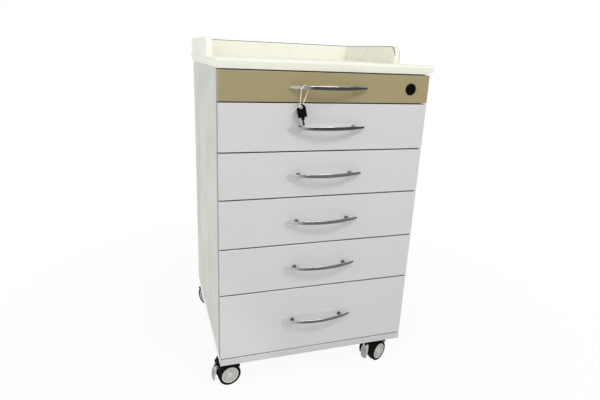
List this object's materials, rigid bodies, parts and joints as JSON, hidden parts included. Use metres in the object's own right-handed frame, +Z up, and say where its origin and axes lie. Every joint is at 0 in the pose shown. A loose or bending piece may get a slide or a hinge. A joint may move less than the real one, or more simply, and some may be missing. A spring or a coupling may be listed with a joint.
{
  "type": "dental drawer cabinet",
  "caption": "Mobile dental cabinet with a column of overlay drawers on telescopic slides, bow handles, a cam lock, a galleried worktop and twin-wheel casters.",
  "frame": {"origin": "on the floor, under the middle of the cabinet's bounding box", "axes": "+Z up, -Y towards the drawers' user, +X to that user's right"},
  "size_m": [0.5284, 0.5229, 0.851],
  "materials": {
    "carcass_board": "gloss warm white lacquer on board",
    "worktop_board": "satin cream laminate",
    "front_white": "high-gloss white",
    "front_beige": "high-gloss khaki beige",
    "drawer_board": "matt white melamine",
    "handle_chrome": "polished",
    "slide_steel": "zinc plated",
    "caster_steel": "zinc plated",
    "lock_black": "black",
    "key_black": "moulded head on a plated blade",
    "tie_nylon": "natural nylon",
    "hood_black": "moulded",
    "pedal_grey": "moulded, light grey",
    "wheel_grey": "light grey core with a dark moulded tread"
  },
  "bodies": {
    "cabinet": {"base_board": "carcass_board", "side_panel_left": "carcass_board", "side_panel_right": "carcass_board", "back_panel": "carcass_board", "top_rails": "carcass_board", "worktop": "worktop_board", "gallery_left": "worktop_board", "gallery_right": "worktop_board", "gallery_back": "worktop_board", "cabinet_rails": "slide_steel", "caster_plates": "caster_steel"},
    "drawer_one": {"drawer_front_one": "front_beige", "drawer_box_one": "drawer_board", "handle_one": "handle_chrome", "drawer_rails_one": "slide_steel", "lock_housing": "lock_black"},
    "slide_one": {"slide_middles_one": "slide_steel"},
    "drawer_two": {"drawer_front_two": "front_white", "drawer_box_two": "drawer_board", "handle_two": "handle_chrome", "drawer_rails_two": "slide_steel"},
    "slide_two": {"slide_middles_two": "slide_steel"},
    "drawer_three": {"drawer_front_three": "front_white", "drawer_box_three": "drawer_board", "handle_three": "handle_chrome", "drawer_rails_three": "slide_steel"},
    "slide_three": {"slide_middles_three": "slide_steel"},
    "drawer_four": {"drawer_front_four": "front_white", "drawer_box_four": "drawer_board", "handle_four": "handle_chrome", "drawer_rails_four": "slide_steel"},
    "slide_four": {"slide_middles_four": "slide_steel"},
    "drawer_five": {"drawer_front_five": "front_white", "drawer_box_five": "drawer_board", "handle_five": "handle_chrome", "drawer_rails_five": "slide_steel"},
    "slide_five": {"slide_middles_five": "slide_steel"},
    "drawer_six": {"drawer_front_six": "front_white", "drawer_box_six": "drawer_board", "handle_six": "handle_chrome", "drawer_rails_six": "slide_steel"},
    "slide_six": {"slide_middles_six": "slide_steel"},
    "lock": {"lock_plug": "lock_black", "lock_cam": "slide_steel"},
    "key_set": {"key": "key_black", "key_tie": "tie_nylon"},
    "caster_front_left": {"caster_hood_front_left": "hood_black"},
    "pedal_front_left": {"brake_pedal_front_left": "pedal_grey"},
    "wheel_front_left_1": {"wheel_front_left_1": "wheel_grey"},
    "wheel_front_left_2": {"wheel_front_left_2": "wheel_grey"},
    "caster_front_right": {"caster_hood_front_right": "hood_black"},
    "pedal_front_right": {"brake_pedal_front_right": "pedal_grey"},
    "wheel_front_right_1": {"wheel_front_right_1": "wheel_grey"},
    "wheel_front_right_2": {"wheel_front_right_2": "wheel_grey"},
    "caster_rear_left": {"caster_hood_rear_left": "hood_black"},
    "wheel_rear_left_1": {"wheel_rear_left_1": "wheel_grey"},
    "wheel_rear_left_2": {"wheel_rear_left_2": "wheel_grey"},
    "caster_rear_right": {"caster_hood_rear_right": "hood_black"},
    "wheel_rear_right_1": {"wheel_rear_right_1": "wheel_grey"},
    "wheel_rear_right_2": {"wheel_rear_right_2": "wheel_grey"}
  },
  "joints": [
    {"name": "drawer_one_slide", "type": "slide", "parent": "cabinet", "child": "drawer_one", "axis": [0, -1, 0], "range_m": [0, 0.4]},
    {"name": "slide_one_run", "type": "slide", "parent": "cabinet", "child": "slide_one", "axis": [0, -1, 0], "range_m": [0, 0.2]},
    {"name": "drawer_two_slide", "type": "slide", "parent": "cabinet", "child": "drawer_two", "axis": [0, -1, 0], "range_m": [0, 0.4], "deforming": ["key_tie", "key"]},
    {"name": "slide_two_run", "type": "slide", "parent": "cabinet", "child": "slide_two", "axis": [0, -1, 0], "range_m": [0, 0.2]},
    {"name": "drawer_three_slide", "type": "slide", "parent": "cabinet", "child": "drawer_three", "axis": [0, -1, 0], "range_m": [0, 0.4]},
    {"name": "slide_three_run", "type": "slide", "parent": "cabinet", "child": "slide_three", "axis": [0, -1, 0], "range_m": [0, 0.2]},
    {"name": "drawer_four_slide", "type": "slide", "parent": "cabinet", "child": "drawer_four", "axis": [0, -1, 0], "range_m": [0, 0.4]},
    {"name": "slide_four_run", "type": "slide", "parent": "cabinet", "child": "slide_four", "axis": [0, -1, 0], "range_m": [0, 0.2]},
    {"name": "drawer_five_slide", "type": "slide", "parent": "cabinet", "child": "drawer_five", "axis": [0, -1, 0], "range_m": [0, 0.4]},
    {"name": "slide_five_run", "type": "slide", "parent": "cabinet", "child": "slide_five", "axis": [0, -1, 0], "range_m": [0, 0.2]},
    {"name": "drawer_six_slide", "type": "slide", "parent": "cabinet", "child": "drawer_six", "axis": [0, -1, 0], "range_m": [0, 0.4]},
    {"name": "slide_six_run", "type": "slide", "parent": "cabinet", "child": "slide_six", "axis": [0, -1, 0], "range_m": [0, 0.2]},
    {"name": "lock_turn", "type": "hinge", "parent": "drawer_one", "child": "lock", "pos_m": [0.202, -0.2149, 0.75325], "axis": [0, 1, 0], "range_deg": [0, 90]},
    {"name": "key_swing", "type": "hinge", "parent": "drawer_one", "child": "key_set", "pos_m": [-0.064, -0.24377, 0.75325], "axis": [-1, 0, 0], "range_deg": [-4, 30]},
    {"name": "swivel_front_left", "type": "hinge", "parent": "cabinet", "child": "caster_front_left", "pos_m": [-0.207, -0.1889, 0.055], "axis": [0, 0, 1], "continuous": true},
    {"name": "brake_front_left", "type": "hinge", "parent": "caster_front_left", "child": "pedal_front_left", "pos_m": [-0.25624, -0.19758, 0.05], "axis": [0.1736, -0.9848, 0], "range_deg": [0, 6]},
    {"name": "roll_front_left_1", "type": "hinge", "parent": "caster_front_left", "child": "wheel_front_left_1", "pos_m": [-0.2267, -0.19237, 0.029], "axis": [0.1736, -0.9848, 0], "continuous": true},
    {"name": "roll_front_left_2", "type": "hinge", "parent": "caster_front_left", "child": "wheel_front_left_2", "pos_m": [-0.2267, -0.19237, 0.029], "axis": [0.1736, -0.9848, 0], "continuous": true},
    {"name": "swivel_front_right", "type": "hinge", "parent": "cabinet", "child": "caster_front_right", "pos_m": [0.207, -0.1889, 0.055], "axis": [0, 0, 1], "continuous": true},
    {"name": "brake_front_right", "type": "hinge", "parent": "caster_front_right", "child": "pedal_front_right", "pos_m": [0.16206, -0.21082, 0.05], "axis": [0.4384, -0.8988, 0], "range_deg": [0, 6]},
    {"name": "roll_front_right_1", "type": "hinge", "parent": "caster_front_right", "child": "wheel_front_right_1", "pos_m": [0.18902, -0.19767, 0.029], "axis": [0.4384, -0.8988, 0], "continuous": true},
    {"name": "roll_front_right_2", "type": "hinge", "parent": "caster_front_right", "child": "wheel_front_right_2", "pos_m": [0.18902, -0.19767, 0.029], "axis": [0.4384, -0.8988, 0], "continuous": true},
    {"name": "swivel_rear_left", "type": "hinge", "parent": "cabinet", "child": "caster_rear_left", "pos_m": [-0.207, 0.2031, 0.055], "axis": [0, 0, 1], "continuous": true},
    {"name": "roll_rear_left_1", "type": "hinge", "parent": "caster_rear_left", "child": "wheel_rear_left_1", "pos_m": [-0.2176, 0.22006, 0.029], "axis": [-0.848, -0.5299, 0], "continuous": true},
    {"name": "roll_rear_left_2", "type": "hinge", "parent": "caster_rear_left", "child": "wheel_rear_left_2", "pos_m": [-0.2176, 0.22006, 0.029], "axis": [-0.848, -0.5299, 0], "continuous": true},
    {"name": "swivel_rear_right", "type": "hinge", "parent": "cabinet", "child": "caster_rear_right", "pos_m": [0.207, 0.2031, 0.055], "axis": [0, 0, 1], "continuous": true},
    {"name": "roll_rear_right_1", "type": "hinge", "parent": "caster_rear_right", "child": "wheel_rear_right_1", "pos_m": [0.22482, 0.21218, 0.029], "axis": [-0.454, 0.891, 0], "continuous": true},
    {"name": "roll_rear_right_2", "type": "hinge", "parent": "caster_rear_right", "child": "wheel_rear_right_2", "pos_m": [0.22482, 0.21218, 0.029], "axis": [-0.454, 0.891, 0], "continuous": true}
  ],
  "couplings": [
    {"joint": "slide_one_run", "follows": "drawer_one_slide", "ratio": 0.5},
    {"joint": "slide_two_run", "follows": "drawer_two_slide", "ratio": 0.5},
    {"joint": "slide_three_run", "follows": "drawer_three_slide", "ratio": 0.5},
    {"joint": "slide_four_run", "follows": "drawer_four_slide", "ratio": 0.5},
    {"joint": "slide_five_run", "follows": "drawer_five_slide", "ratio": 0.5},
    {"joint": "slide_six_run", "follows": "drawer_six_slide", "ratio": 0.5}
  ]
}
